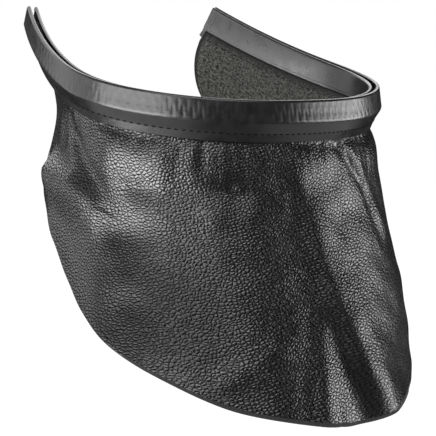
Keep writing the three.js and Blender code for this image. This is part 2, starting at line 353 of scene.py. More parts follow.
# %% Pebbles of the grain
PEBBLE = 2.3
PEBBLE_STRETCH = 1.25
PEBBLE_TURN = np.radians(-18)
PEBBLE_CHANCE = 0.95
CREASE_LEVEL = 0.105
PEBBLE_LEVEL = 0.575
GRAIN_WANDER = 3.5
GRAIN_WANDER_REACH = 1.4
PORE = 0.9
PORE_SHARE = 0.35
DRAWN_GRAIN = 1.6
DRAWN_FROM = 8.0
DRAWN_EASE = 32.0

grain, tree = new_material("dyed_cowhide_grain_side")
sheet_map = add_node(tree, "ShaderNodeUVMap", uv_map="flat_map").outputs["UV"]
sheet_parts = add_node(tree, "ShaderNodeSeparateXYZ", {"Vector": sheet_map}).outputs
past_front = arithmetic(tree, "SUBTRACT", sheet_parts["X"], DRAWN_FROM * MM)
on_right = arithmetic(tree, "SMOOTH_MAX", past_front, 0.0, DRAWN_EASE * MM)
drawn = arithmetic(tree, "MULTIPLY_ADD", on_right, 1 / DRAWN_GRAIN - 1, sheet_parts["X"])
flat = add_node(tree, "ShaderNodeCombineXYZ", {"X": drawn, "Y": sheet_parts["Y"]}).outputs["Vector"]
wander = vectors(tree, "ADD", noise(tree, flat, GRAIN_WANDER, 2.0, "Color"), (-0.5,) * 3)
wandered = vectors(tree, "MULTIPLY_ADD", wander, (GRAIN_WANDER_REACH * MM,) * 3, flat)


def pebble_cells(place):
    """Distance to the nearest crease, in cells that are a little longer along one direction."""
    squeezed = (1.0, 1 / PEBBLE_STRETCH, 1.0)
    slant = {"Vector": place, "Rotation": (0.0, 0.0, PEBBLE_TURN), "Scale": squeezed}
    slanted = add_node(tree, "ShaderNodeMapping", slant, vector_type="TEXTURE").outputs["Vector"]
    return add_node(
        tree,
        "ShaderNodeTexVoronoi",
        {"Vector": slanted, "Scale": per_metre(PEBBLE), "Randomness": PEBBLE_CHANCE},
        feature="DISTANCE_TO_EDGE",
        voronoi_dimensions="2D",
    ).outputs["Distance"]


crease = pebble_cells(wandered)
pores = noise(tree, wandered, PORE, 2.0)
broken = arithmetic(tree, "MULTIPLY_ADD", pores, PORE_SHARE, crease)
pebble = between(tree, broken, CREASE_LEVEL, PEBBLE_LEVEL)
print("pebbles of", PEBBLE, "mm")

# %% [markdown]
# ## Shine of the grain
# What the eye takes for grain is mostly shine. Each pebble has a painted highlight on one side
# and painted shade on the other, standing in for light that falls on it from that side, and the
# creases get no shine, partly a dull finish and partly painted shade. Here the lit side is found
# by asking how much lower the pebble is one short step away: a step up at the side of the bib,
# and to the left at its front. The lower left shines less, as painted shade, the drawn hide on the
# right shines less but more evenly, and a thin strip right under the fin does not shine at all, as
# the fin's painted shadow.

# %% Shine of the grain
# Zones across the sheet and steps that find the side with the painted highlight are in millimetres.
LIT_SIDE_ZONE = (-120.0, -35.0)
LIT_SIDE_ACROSS = (0.15, -0.85)
LIT_SIDE_DOWN = (-0.7, -0.1)
LIT_SIDE_SHARE = 2.6
DRAWN_ZONE = (-10.0, 25.0)
SHINE_FULL = 1.2
SHINE_FROM = -0.25
DRAWN_SHINE_FROM = -0.8
TOP_SHINE = 0.92
DRAWN_SHINE = 0.58
# A patch at the lower left shines less, as painted shade: its shine, place and reach.
SHADED_PATCH_SHINE = 0.48
SHADED_PATCH_PLACE = (-102.0, 100.0, 0.0)
SHADED_PATCH_REACH = (15.0, 60.0)
# Painted shadow of the fin: a strip this deep right under it gets no shine.
SEAM_SHADOW_STRIP = 2.0


def across_zone(zone, left, right):
    """A value that passes from left to right over a zone across the sheet."""
    return between(tree, sheet_parts["X"], zone[0] * MM, zone[1] * MM, left, right)


def step_to_lit_side(ends):
    """One part of the step that finds the lit side, in metres, from its values at the zone's ends."""
    return across_zone(LIT_SIDE_ZONE, ends[0] * MM, ends[1] * MM)


steps = {"X": step_to_lit_side(LIT_SIDE_ACROSS), "Y": step_to_lit_side(LIT_SIDE_DOWN)}
to_lit_side = add_node(tree, "ShaderNodeCombineXYZ", steps).outputs["Vector"]
# Painted highlight and shade: a pebble shines more where it falls away towards the step, and less where
# it rises.
beside = pebble_cells(vectors(tree, "ADD", wandered, to_lit_side))
highlit = arithmetic(tree, "SUBTRACT", crease, beside)
lit_pebble = arithmetic(tree, "MULTIPLY_ADD", highlit, LIT_SIDE_SHARE, pebble)
# Painted shade: the pebbles shine less round a patch at the lower left.
shaded_patch_place = tuple(value * MM for value in SHADED_PATCH_PLACE)
from_shaded_patch = vectors(tree, "DISTANCE", flat, shaded_patch_place, output="Value")
side_shine = across_zone(DRAWN_ZONE, TOP_SHINE, DRAWN_SHINE)
top_shine = between(
    tree,
    from_shaded_patch,
    SHADED_PATCH_REACH[0] * MM,
    SHADED_PATCH_REACH[1] * MM,
    SHADED_PATCH_SHINE,
    side_shine,
    interpolation_type="SMOOTHSTEP",
)
# Painted shadow of the fin: no shine in a thin strip right under it.
shine_past_seam_shadow = between(tree, sheet_parts["Y"], 0.0, SEAM_SHADOW_STRIP * MM, 0.0, top_shine)
# Partly painted shade: the creases get no shine, though the dull finish there is real too.
crease_shine = across_zone(DRAWN_ZONE, SHINE_FROM, DRAWN_SHINE_FROM)
grain_shine_and_painted_light = between(tree, lit_pebble, crease_shine, SHINE_FULL, 0.0, shine_past_seam_shadow)
print("worn side of the pebbles set from", LIT_SIDE_ZONE[0], "to", LIT_SIDE_ZONE[1], "mm across")

# %% [markdown]
# ## Grain side of the leather
# The rest of the finish is plain. The pebbles and their pores stand up as two reliefs, one on
# top of the other, the colour is a little darker in the creases, partly thinner dye on the pebbles
# and partly painted shade, and the gloss drifts slowly over the hide, because no hide takes a
# finish evenly.

# %% Grain leather
PEBBLE_HEIGHT = 0.155
PORE_HEIGHT = 0.02
HIDE_CLOUD = 24.0
POLISH = (0.22, 0.3)
CREASE_ROUGHNESS = 0.5
ROUGH_BELOW = 0.5
LEATHER_IOR = 1.5

polish = between(tree, noise(tree, flat, HIDE_CLOUD, 3.0), *NOISE_RANGE, *POLISH)
grain_inputs = {
    # Darker in the creases: partly thinner dye on the pebbles, partly painted shade.
    "Base Color": two_colours(tree, pebble, "#050505", "#121212"),
    "Roughness": between(tree, pebble, 0.0, ROUGH_BELOW, CREASE_ROUGHNESS, polish),
    "IOR": LEATHER_IOR,
    "Specular IOR Level": grain_shine_and_painted_light,
    "Normal": relief(tree, pebble, PEBBLE_HEIGHT, relief(tree, pores, PORE_HEIGHT)),
}
add_shader(tree, grain_inputs)
print("made", grain.name)

# %% [markdown]
# ## Flesh side and cut edge of the leather
# The inside is the split side: a short nap of loose fibres, dull and grey, with dark blotches
# where the nap has been stroked one way or the other. Nothing shines, so the eye reads the
# blotches and the sheen that the fibres catch at a glancing angle. Just under the trim the colour
# is darker in a strip, as painted shade. The cut edge is the same fibre packed tight.

# %% Suede and cut edge
NAP_BLOTCH = 1.7
NAP_FIBRE = 0.75
NAP_HEIGHT = 0.3
NAP_RANGE = (0.84, 1.2)
# The strip of painted shade under the trim, in millimetres down from the fin's tip, so minus is behind
# the fin.
SHADED_STRIP = (-6.5, -1.0)
SHADED_STRIP_LIGHT = 0.2
FIBRE_ROUGHNESS = 0.95
FIBRE_IOR = 1.4
SHEEN_ROUGHNESS = 0.5


def fibre_material(name, dark, light, sheen):
    """Dull fibre: two noises, one for blotches and one for fibres, added, set the colour
    between dark and light, and the fibres alone stand up as a relief."""
    material, tree = new_material(name)
    flat = add_node(tree, "ShaderNodeUVMap", uv_map="flat_map").outputs["UV"]
    fibre = noise(tree, flat, NAP_FIBRE, 3.0)
    both = arithmetic(tree, "ADD", noise(tree, flat, NAP_BLOTCH, 3.0), fibre)
    # Painted shade: the colour is darker in a strip just under the trim.
    below_seam = add_node(tree, "ShaderNodeSeparateXYZ", {"Vector": flat}).outputs["Y"]
    strip = [end * MM for end in SHADED_STRIP]
    strip_shade = between(tree, below_seam, *strip, SHADED_STRIP_LIGHT, 1.0)
    share = between(tree, both, *NAP_RANGE, 0.0, strip_shade)
    inputs = {
        "Base Color": two_colours(tree, share, dark, light),
        "Roughness": FIBRE_ROUGHNESS,
        "IOR": FIBRE_IOR,
        "Sheen Weight": sheen,
        "Sheen Roughness": SHEEN_ROUGHNESS,
        "Normal": relief(tree, fibre, NAP_HEIGHT),
    }
    add_shader(tree, inputs)
    print("made", name)
    return material


suede = fibre_material("split_cowhide_flesh_side", "#020202", "#4b4b47", 0.15)
cut_edge = fibre_material("knife_cut_leather_edge", "#0b0b0b", "#1c1b1b", 0.1)

# %% [markdown]
# ## Thread
# The seam is sewn with bonded black polyester. Dust and wear have left it dull, so it reads as
# a row of dark dashes. Only its twist shows from close by: slanting strands, drawn here as a
# wave along each stitch.

# %% Bonded thread
STRAND = 0.5
STRAND_HEIGHT = 0.05
THREAD_ROUGHNESS = 0.85
THREAD_SHINE = 0.1
# A wave texture of scale one turns by this many radians for each unit of length.
WAVE_RADIANS = 10.0

thread, tree = new_material("bonded_polyester_thread")
flat = add_node(tree, "ShaderNodeUVMap", uv_map="flat_map").outputs["UV"]
strand_scale = per_metre(STRAND) * 2 * np.pi / WAVE_RADIANS
wave = {"Vector": flat, "Scale": strand_scale}
strands = add_node(tree, "ShaderNodeTexWave", wave, bands_direction="DIAGONAL").outputs["Fac"]
thread_inputs = {
    "Base Color": linear("#030303"),
    "Roughness": THREAD_ROUGHNESS,
    "Specular IOR Level": THREAD_SHINE,
    "Normal": relief(tree, strands, STRAND_HEIGHT),
}
add_shader(tree, thread_inputs)
print("made", thread.name)

# %% [markdown]
# ## The trim's section
# In section the trim is a U that opens upwards, with two rounded lips, and a fin below that
# slants inwards to the seam and then hangs. Straight runs meet in rounded corners, as an
# extrusion's do. Each corner is a short curve that starts on one run and ends on the next. The
# wide outer face gets a row of points of its own, because it will carry a relief.

# %% Section of the trim
HALF_WIDTH = 3.5
GROOVE_HALF = 1.5
MOUTH_HALF = 1.1
LIP_FLARE = 0.1
LIP_HEIGHT = 11.0
LIP_SHOULDER = 8.9
MOUTH_AT = 9.3
GROOVE_TOP = 7.6
FACE_FOOT = -2.4
INNER_FOOT = -3.4
FIN_ROOT = np.array([-2.75, -6.6])
FIN_NECK = np.array([-1.75, -8.5])
FIN_TIP = np.array([-4.4, -13.3])
FIN_INNER_TIP = np.array([-5.37, -12.6])
CORNER_STEPS = 4
FACE_STEPS = 30

# Corners in order, each with how much of its two runs the rounding takes, in millimetres.
SECTION_CORNERS = [
    (MOUTH_HALF, MOUTH_AT, 0.5),
    (MOUTH_HALF + LIP_FLARE, LIP_HEIGHT, 0.8),
    (HALF_WIDTH, LIP_HEIGHT, 1.4),
    (HALF_WIDTH, FACE_FOOT, 1.3),
    (FIN_NECK[0], FIN_NECK[1], 1.2),
    (FIN_TIP[0], FIN_TIP[1], 0.4),
    (FIN_INNER_TIP[0], FIN_INNER_TIP[1], 0.3),
    (FIN_ROOT[0], FIN_ROOT[1], 0.6),
    (FIN_ROOT[0], INNER_FOOT, 0.3),
    (-HALF_WIDTH, INNER_FOOT, 0.4),
    (-HALF_WIDTH, LIP_HEIGHT, 1.4),
    (-MOUTH_HALF - LIP_FLARE, LIP_HEIGHT, 0.8),
    (-MOUTH_HALF, MOUTH_AT, 0.5),
    (-GROOVE_HALF, GROOVE_TOP, 0.5),
    (-GROOVE_HALF, 0.0, 0.3),
    (GROOVE_HALF, 0.0, 0.3),
    (GROOVE_HALF, GROOVE_TOP, 0.5),
]
FACE_TOP, FACE_BOTTOM = 2, 3


def rounded_outline(corners):
    """Outline of the section. At each corner the curve is a quadratic one: it starts on the
    run before, a given way from the corner, is drawn towards the corner, and ends as far
    along the run after. Returned with one row of points for each corner."""
    table = np.array(corners)
    point = table[:, :2]
    reach = table[:, 2:]
    before = np.roll(point, 1, axis=0) - point
    after = np.roll(point, -1, axis=0) - point
    start = point + before / np.linalg.norm(before, axis=1, keepdims=True) * reach
    end = point + after / np.linalg.norm(after, axis=1, keepdims=True) * reach
    t = np.linspace(0, 1, CORNER_STEPS)[None, :, None]
    return (1 - t) ** 2 * start[:, None] + 2 * t * (1 - t) * point[:, None] + t**2 * end[:, None]


def run_between(start, end, steps):
    """Points strictly between two points, evenly spaced."""
    t = np.linspace(0, 1, steps + 1)[1:-1, None]
    return start + (end - start) * t


bends = rounded_outline(SECTION_CORNERS)
face_run = run_between(bends[FACE_TOP][-1], bends[FACE_BOTTOM][0], FACE_STEPS)
section = np.concatenate(
    [bends[:FACE_BOTTOM].reshape(-1, 2), face_run, bends[FACE_BOTTOM:].reshape(-1, 2)]
)
print(f"section of {len(section)} points")

# %% [markdown]
# ## Dimples in the trim's face
# The steel clips inside press through the vinyl: two staggered rows of upright dimples, the
# lower one deeper, that fade where the trim is bent hard. They are a real relief, because the
# lamps' edges break on them. Each dimple is a bell along the trim, with a soft top and foot,
# and its own depth and place from a seeded table.

# %% Relief of the trim's face
CLIP_PITCH = 5.5
SPARE_CLIPS = 4
DIMPLE_DEPTH = 0.14
DIMPLE_WIDTH = 1.05
DIMPLE_SLANT = 0.10
DIMPLE_FOOT_EASE = 2.4
DIMPLE_TOP_EASE = 3.2
DIMPLE_DEPTHS = (0.7, 1.15)
DIMPLE_SHIFTS = (-0.2, 0.2)
RELIEF_SEED = 4
# Rows: where each starts and ends up the face, its depth share and its shift along.
DIMPLE_ROWS = [
    {"foot": -1.6, "top": 4.6, "depth": 1.0, "shift": 0.0},
    {"foot": 1.6, "top": 8.4, "depth": 0.8, "shift": 0.5},
]
# How strongly the clips show, by share of the half length, from the left end.
CLIP_SHOW = {
    "share": [-1.0, -0.7, -0.45, 0.18, 0.3, 1.0],
    "show": [0.3, 0.6, 1.0, 1.1, 0.25, 0.3],
}


def soft_step(x, edge, width):
    """Nought before the edge and one after it, by a smooth curve of the given width."""
    t = np.clip((x - edge) / width + 0.5, 0, 1)
    return t * t * (3 - 2 * t)


def face_relief(along, up):
    """Depth of the dimples: for each row, the nearest clip's bell across, times a soft step
    at its foot and its top, times how much that clip shows."""
    chance = np.random.default_rng(RELIEF_SEED)
    clips = int(2 * HALF_LENGTH / CLIP_PITCH) + SPARE_CLIPS
    total = np.zeros(np.broadcast(along, up).shape)
    show = np.interp(along / HALF_LENGTH, CLIP_SHOW["share"], CLIP_SHOW["show"])
    for row in DIMPLE_ROWS:
        depths = chance.uniform(*DIMPLE_DEPTHS, clips)
        shifts = chance.uniform(*DIMPLE_SHIFTS, clips)
        place = (along + HALF_LENGTH) / CLIP_PITCH + row["shift"] + DIMPLE_SLANT * up / CLIP_PITCH
        nearest = np.clip(np.round(place).astype(int), 0, clips - 1)
        away = (place - nearest) * CLIP_PITCH - shifts[nearest]
        bell = np.exp(-((away / DIMPLE_WIDTH) ** 2))
        from_foot = soft_step(up, row["foot"], DIMPLE_FOOT_EASE)
        to_top = 1 - soft_step(up, row["top"], DIMPLE_TOP_EASE)
        total += row["depth"] * depths[nearest] * bell * from_foot * to_top
    return DIMPLE_DEPTH * total * show


print("clips along the trim:", int(2 * HALF_LENGTH / CLIP_PITCH))

# %% [markdown]
# ## The edge trim
# The section is carried along the line. Each station is one row of the grid, the face's points
# are pushed in by the relief, and the fin is drawn back where it was trimmed off at the two
# cut ends. The ends are closed with one flat face each. The wide faces lead the shading, so
# that the narrow roundings beside them don't tint them.

# %% Edge trim
STATION_STEP = 0.5
FACE_MARGIN = 0.6
FIN_KEPT_AT_END = 0.45
FIN_CUT_LENGTH = 6.0


def trim_points(share):
    """Section points at every station: relief pushes the face inwards, and near the ends all
    points below the fin's root keep only part of their way down from it."""
    axes = rim_axes(share[:, None] * np.ones(len(section)))
    out = np.tile(section[:, 0], (len(share), 1))
    up = np.tile(section[:, 1], (len(share), 1))
    near_face = section[:, 0] > HALF_WIDTH - FACE_MARGIN
    on_face = near_face & (section[:, 1] < LIP_SHOULDER + FACE_MARGIN)
    out = out - np.where(on_face, face_relief(share[:, None] * HALF_LENGTH, section[:, 1]), 0)
    from_end = (1 - np.abs(share)) * HALF_LENGTH
    whole = soft_step(from_end, FIN_CUT_LENGTH / 2, FIN_CUT_LENGTH)
    kept = FIN_KEPT_AT_END + (1 - FIN_KEPT_AT_END) * whole
    below = np.maximum(FIN_ROOT[1] - section[:, 1], 0) * (1 - kept[:, None])
    run = (FIN_TIP - FIN_ROOT) / (FIN_ROOT[1] - FIN_TIP[1])
    return on_section(axes, out - below * run[0], up - below * run[1])


stations = np.linspace(-1, 1, int(2 * HALF_LENGTH / STATION_STEP))
rings = trim_points(stations)
ring_size = len(section)
ring_index = np.arange(rings.shape[0] * ring_size).reshape(-1, ring_size)
trim_cells = grid_cells(np.column_stack([ring_index, ring_index[:, :1]]))
end_faces = [ring_index[0, ::-1].tolist(), ring_index[-1].tolist()]
around = running_sum(np.linalg.norm(np.diff(section, axis=0), axis=1))
trim_grid = np.meshgrid(stations * HALF_LENGTH, around, indexing="ij")
trim_map = np.stack(trim_grid, -1).reshape(-1, 2) * MM
edge_trim = add_piece(
    "vinyl_edge_trim", rings.reshape(-1, 3), trim_cells.tolist() + end_faces, trim_map, [pvc]
)
area_normals = edge_trim.modifiers.new("wide_faces_lead", "WEIGHTED_NORMAL")
area_normals.keep_sharp = True
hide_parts("edge_trim")

# %% [markdown]
# ## How the leather hangs
# The bib was cut flat and has taken a set in use: it stands out from the seam at the front and
# falls inwards along the arms. A cloth simulation would find its own folds, and these have a
# known place, so the hang is a table: at each place across, how far the leather stands out at
# six depths, and how far down it is cut. A smooth curve passes through each column.

# %% Table of the hang
HANG_DEPTHS = [0, 12, 30, 60, 100, 140, 180]
HANG_ROWS = [
    {"at": -1.0, "out": [-6, -13, -17, -19, -21, -23], "drop": 40},
    {"at": -0.86, "out": [-7, -8, 1, 4, 6, 8], "drop": 56},
    {"at": -0.74, "out": [-4, -1, 5, 6, 7, 8], "drop": 74},
    {"at": -0.62, "out": [0, 2.5, 4.5, 4, 5, 7], "drop": 99},
    {"at": -0.48, "out": [1.5, 3, 6, 16, 28, 40], "drop": 122},
    {"at": -0.36, "out": [1.5, 3, 7, 19, 33, 47], "drop": 139},
    {"at": -0.25, "out": [2, 4, 9.5, 21, 34, 47], "drop": 151.5},
    {"at": -0.15, "out": [2, 4.5, 10.5, 22, 35, 48], "drop": 158},
    {"at": -0.05, "out": [2, 4.5, 10.5, 21, 34, 47], "drop": 163},
    {"at": 0.05, "out": [2.5, 5, 11.5, 23, 35, 46], "drop": 164.5},
    {"at": 0.16, "out": [3, 5, 12.5, 23, 32, 40], "drop": 158.5},
    {"at": 0.33, "out": [4, 6, 12, 22, 28, 33], "drop": 153},
    {"at": 0.48, "out": [5, 7, 12, 21, 26, 30], "drop": 131},
    {"at": 0.62, "out": [1, 1, 4, 10, 14, 17], "drop": 104},
    {"at": 0.74, "out": [-2, -4, -5, -3, -1, 1], "drop": 80},
    {"at": 0.86, "out": [-3, -7, -10, -10, -10, -10], "drop": 62},
    {"at": 1.0, "out": [-4, -9, -13, -14, -15, -16], "drop": 44},
]


def smooth_through(places, values, at):
    """Cubic through a table, one curve for each column of values, read at its own row of at.
    The slope at each place is weighed from the two stretches beside it, the shorter one more."""
    places = np.asarray(places, float)
    gap = np.diff(places)
    rise = np.diff(values, axis=0) / gap[:, None]
    share = (gap[1:] / (gap[1:] + gap[:-1]))[:, None]
    slope = np.vstack([rise[:1], rise[:-1] * share + rise[1:] * (1 - share), rise[-1:]])
    i = np.clip(np.searchsorted(places, at, side="right") - 1, 0, len(gap) - 1)
    column = np.arange(values.shape[1])[:, None]
    t = (at - places[i]) / gap[i]
    ends = (2 * t**3 - 3 * t**2 + 1) * values[i, column] + (3 * t**2 - 2 * t**3) * values[i + 1, column]
    slopes = (t**3 - 2 * t**2 + t) * slope[i, column] + (t**3 - t**2) * slope[i + 1, column]
    return ends + gap[i] * slopes


print(len(HANG_ROWS), "places across")

# %% [markdown]
# ## Folds
# Folds that wear has set are laid over the hang. Each one follows a bent line down or across the
# sheet, and is a bell across that line: a ridge if its height is above nought, a valley if below.
# Drawing them as lines keeps each fold's place, width and height apart, so one can be moved
# without the others.

# %% Table of the folds
# Each point of a line has its share across, its depth, and the fold's half width and height there.
# A lean above one makes the left or lower side of a fold the wider one.
FOLDS = [
    {
        "name": "main ridge",
        "lean": 0.7,
        "line": [
            (-0.054, 4, 9, 1.5),
            (-0.009, 44, 12, 3),
            (0.015, 80, 13, 4),
            (0.08, 135, 15, 6),
            (0.14, 168, 16, 7),
        ],
    },
    {"name": "main valley", "line": [(-0.005, 105, 6, 0), (0.02, 140, 8, -2.6), (0.035, 170, 10, -4)]},
    {"name": "second ridge", "line": [(-0.02, 88, 5, 0), (-0.065, 160, 7, 2.3), (-0.07, 178, 8, 2.8)]},
    {"name": "second valley", "line": [(-0.05, 95, 6, 0), (-0.1, 170, 9, -1.2)]},
    {
        "name": "slanting crease",
        "line": [(0.115, 2, 4, -1.6), (0.228, 34, 4.5, -2.2), (0.28, 76, 6, 0)],
    },
    {"name": "crease ridge", "line": [(0.16, 6, 6, 1), (0.3, 60, 9, 1.5)]},
    {
        "name": "corner valley",
        "line": [(-0.7, 10, 5, -1), (-0.625, 21, 6, -3), (-0.545, 36, 7, -3.6), (-0.485, 58, 11, -2)],
    },
    {
        "name": "corner swell",
        "lean": 1.3,
        "line": [(-0.75, 47, 12, 7), (-0.63, 44, 10, 5), (-0.55, 49, 10, 2)],
    },
    {"name": "upper swell", "line": [(-0.5, 12, 12, 1.5), (-0.38, 12, 12, 1.5)]},
    {"name": "cross dent", "lean": 1.5, "line": [(-0.42, 32, 8, -1.8), (-0.22, 29, 8, -1.8)]},
    {"name": "seam tuck", "line": [(-0.308, 3, 4, 1.3), (-0.316, 22, 5, 0.4)]},
    {"name": "second tuck", "line": [(-0.241, 5, 6, 1.2), (-0.245, 16, 6, 0.5)]},
    {"name": "left tuck crease", "line": [(-0.43, 4, 2.2, -0.6), (-0.432, 22, 2.4, 0)]},
    {"name": "middle tuck crease", "line": [(-0.335, 3, 2.2, -0.6), (-0.345, 26, 2.6, 0)]},
    {"name": "right tuck crease", "line": [(-0.283, 3, 2.2, -0.6), (-0.293, 28, 2.6, 0)]},
    {"name": "edge curl", "line": [(-0.71, 86, 12, 4), (-0.6, 116, 12, 7)]},
    {"name": "low diagonal", "line": [(-0.303, 142, 7, 1), (-0.145, 118, 7, 1)]},
    {"name": "hem crease", "line": [(-0.02, 150, 2, 0), (-0.026, 168, 2, -1)]},
]
FOLD_START = 6


def fold_height(across, depth):
    """Sum of the folds: each is a bell of the distance to its own line, whose width and height
    pass evenly from one point of the line to the next. All grow out of the seam."""
    total = np.zeros(np.broadcast(across, depth).shape)
    for fold in FOLDS:
        lean = fold.get("lean", 1.0)
        nearest = np.full(total.shape, np.inf)
        bell = np.zeros(total.shape)
        for start, end in zip(fold["line"][:-1], fold["line"][1:]):
            from_across, from_depth = across - start[0] * HALF_LENGTH, depth - start[1]
            run_across, run_depth = (end[0] - start[0]) * HALF_LENGTH, end[1] - start[1]
            along = from_across * run_across + from_depth * run_depth
            t = np.clip(along / (run_across**2 + run_depth**2), 0, 1)
            away = np.hypot(from_across - t * run_across, from_depth - t * run_depth)
            on_left = run_across * from_depth > run_depth * from_across
            width = (start[2] + (end[2] - start[2]) * t) * np.where(on_left, lean, 1 / lean)
            height = start[3] + (end[3] - start[3]) * t
            bell = np.where(away < nearest, height * np.exp(-((away / width) ** 2)), bell)
            nearest = np.minimum(nearest, away)
        total += bell
    return total * np.minimum(depth / FOLD_START, 1)


print(len(FOLDS), "folds, the first of them the", FOLDS[0]["name"])

# %% [markdown]
# ## Small unevenness of the leather
# Between the folds a worn hide is never smooth. It puckers where the needle pulled it against
# the fin, and it is softly lumpy all over. The puckers are a wave along the seam that dies out
# downwards. The lumps are a few dozen waves of seeded direction and length added together,
# which is smooth, repeats nowhere on the piece, and is the same on each run.

# %% Puckers and lumps
PUCKER_HEIGHT = 0.35
PUCKER_LENGTH = 8.6
PUCKER_START = 3.0
PUCKER_DEPTH = 11.0
# Two slow waves that shift the puckers along the seam, so that no two are alike.
PUCKER_SHIFTS = [{"reach": 2.2, "length": 23.0}, {"reach": 1.7, "length": 9.7}]
LUMP_COUNT = 40
LUMP_HEIGHT = 0.55
LUMP_LENGTHS = (14.0, 42.0)
LUMP_SEED = 11


def small_relief(across, depth):
    """Puckers: a wave along the seam times a fall with depth. Lumps: waves of random length
    and direction, each as high as it is long, divided by the root of their number."""
    chance = np.random.default_rng(LUMP_SEED)
    fall = np.exp(-depth / PUCKER_DEPTH) * np.minimum(depth / PUCKER_START, 1)
    shift = sum(wave["reach"] * np.sin(across / wave["length"]) for wave in PUCKER_SHIFTS)
    pucker = PUCKER_HEIGHT * fall * np.sin(2 * np.pi * (across + shift) / PUCKER_LENGTH)
    length = chance.uniform(*LUMP_LENGTHS, LUMP_COUNT)
    turn = chance.uniform(0, 2 * np.pi, LUMP_COUNT)
    phase = chance.uniform(0, 2 * np.pi, LUMP_COUNT)
    lumps = np.zeros(np.broadcast(across, depth).shape)
    for size, way, start in zip(length, turn, phase):
        wave = 2 * np.pi / size * (across * np.cos(way) + depth * np.sin(way)) + start
        lumps += np.sin(wave) * size / LUMP_LENGTHS[1]
    lumps *= LUMP_HEIGHT / np.sqrt(LUMP_COUNT) * np.minimum(depth / FOLD_START, 1)
    return pucker + lumps


print("pucker length", PUCKER_LENGTH, "mm,", LUMP_COUNT, "waves of lumps")

# %% [markdown]
# ## The leather bib
# The sheet is one grid: columns across, rows from the tab that is hidden behind the fin down
# to the hem. Its outer and inner sides are that grid moved half a thickness each way, and at
# the border the thickness runs out in a short rounding, so both sides share one row of points
# and the piece is closed. Faces take the grain, the suede or the cut edge.

# %% Grid of the bib
LEATHER = 1.4
SEAM_GAP = 0.3
TAB_TOP_UP = -5.4
TAB_ROWS = 7
END_INSET = 2.0
ACROSS_STEPS = 350
# Distances of the border's rows from the cut edge.
BORDER = np.array([0.0, 0.1, 0.32, 0.7])

fin_run = (FIN_INNER_TIP - FIN_ROOT) / np.linalg.norm(FIN_INNER_TIP - FIN_ROOT)
fin_inwards = np.array([fin_run[1], -fin_run[0]])
tab_corners = np.array(
    [
        [FIN_ROOT[0] - SEAM_GAP, TAB_TOP_UP],
        FIN_ROOT + fin_inwards * SEAM_GAP,
        FIN_INNER_TIP + fin_inwards * SEAM_GAP,
    ]
)
tab_length = running_sum(np.linalg.norm(np.diff(tab_corners, axis=0), axis=1))
tab_rows = np.concatenate([BORDER, np.linspace(BORDER[-1], tab_length[-1], TAB_ROWS)[1:]])
bib_end = HALF_LENGTH - END_INSET
inside = np.linspace(BORDER[-1] - bib_end, bib_end - BORDER[-1], ACROSS_STEPS)
across = np.concatenate([BORDER[:-1] - bib_end, inside, bib_end - BORDER[-2::-1]])
print(f"{len(across)} columns, tab {tab_length[-1]:.1f} mm")

# %% Outer face of the bib
HANG_STEPS = 118
HANG_CROWDING = 1.12
SEAM_BEND = 2.6
EDGE_BULGE = 3.6
EDGE_PULL = 11.0
EDGE_REACH = 8


def hang_depths(drop):
    """Depth of each row in each column: crowded towards the seam, with the border's rows kept
    at the same distances from the hem whatever the drop is."""
    part = np.linspace(0, 1, HANG_STEPS + 1)[1:] ** HANG_CROWDING
    main = part * (drop[:, None] - BORDER[-1])
    return np.concatenate([main, drop[:, None] - BORDER[-2::-1]], axis=1)


def bib_surface(across):
    """Outer face. The tab follows the fin's inner side. From its foot each column goes down by
    the depth and out by the table's curve, the folds and the small relief, less a term that
    turns the sheet's start into the tab's slope. The rear edges swell back and pull forwards."""
    share = across / HALF_LENGTH
    axes = {name: values[:, None] for name, values in rim_axes(share).items()}
    tab_out = np.interp(tab_rows, tab_length, tab_corners[:, 0])
    tab_up = np.interp(tab_rows, tab_length, tab_corners[:, 1])
    tab = on_section(axes, tab_out[None], tab_up[None])
    places = [row["at"] for row in HANG_ROWS]
    table = np.array([row["out"] + [row["drop"]] for row in HANG_ROWS], float)
    curves = smooth_through(places, table, np.tile(share, (table.shape[1], 1)))
    drop = curves[-1]
    depth = hang_depths(drop)
    stand = np.vstack([np.zeros(len(share)), curves[:-1]])
    out = smooth_through(HANG_DEPTHS, stand, depth)
    tab_step = tab[:, -1] - tab[:, -2]
    tab_slope = np.sum(tab_step * axes["out"][:, 0], axis=1) / -tab_step[:, 2]
    turn = (stand[1] / HANG_DEPTHS[1] - tab_slope)[:, None]
    out = out - turn * depth * np.exp(-depth / SEAM_BEND)
    out = out + fold_height(across[:, None], depth) + small_relief(across[:, None], depth)
    part = depth / drop[:, None]
    edge = np.abs(share)[:, None] ** EDGE_REACH
    back = edge * (EDGE_BULGE * 4 * part * (1 - part) - EDGE_PULL * part**2)
    hang = tab[:, -1:] + axes["out"] * out[..., None] + axes["back"] * back[..., None]
    hang[..., 2] -= depth
    down = np.concatenate([np.tile(tab_rows - tab_length[-1], (len(across), 1)), depth], axis=1)
    return np.concatenate([tab, hang], axis=1), down


outer_face, down = bib_surface(across)
print("grid", outer_face.shape[:2], "deepest row", round(float(down.max()), 1), "mm")

# %% Closed sheet
EDGE_SQUARENESS = 2.6
GRAIN, SUEDE, CUT = 0, 1, 2


def border_distance(places):
    """Distance of each place in a row to the nearer end of the row."""
    from_start = places - places.min(axis=-1, keepdims=True)
    to_end = places.max(axis=-1, keepdims=True) - places
    return np.minimum(from_start, to_end)


across_step = np.gradient(outer_face, axis=0)
down_step = np.gradient(outer_face, axis=1)
normal = np.cross(down_step, across_step)
normal /= np.linalg.norm(normal, axis=2, keepdims=True)
to_border = np.minimum(border_distance(across)[:, None], border_distance(down))
nearness = np.clip(to_border / BORDER[-1], 0, 1)
half_thick = LEATHER / 2 * (1 - (1 - nearness) ** EDGE_SQUARENESS) ** (1 / EDGE_SQUARENESS)
middle = outer_face - normal * LEATHER / 2
grain_side = middle + normal * half_thick[..., None]
flesh_side = middle - normal * half_thick[..., None]

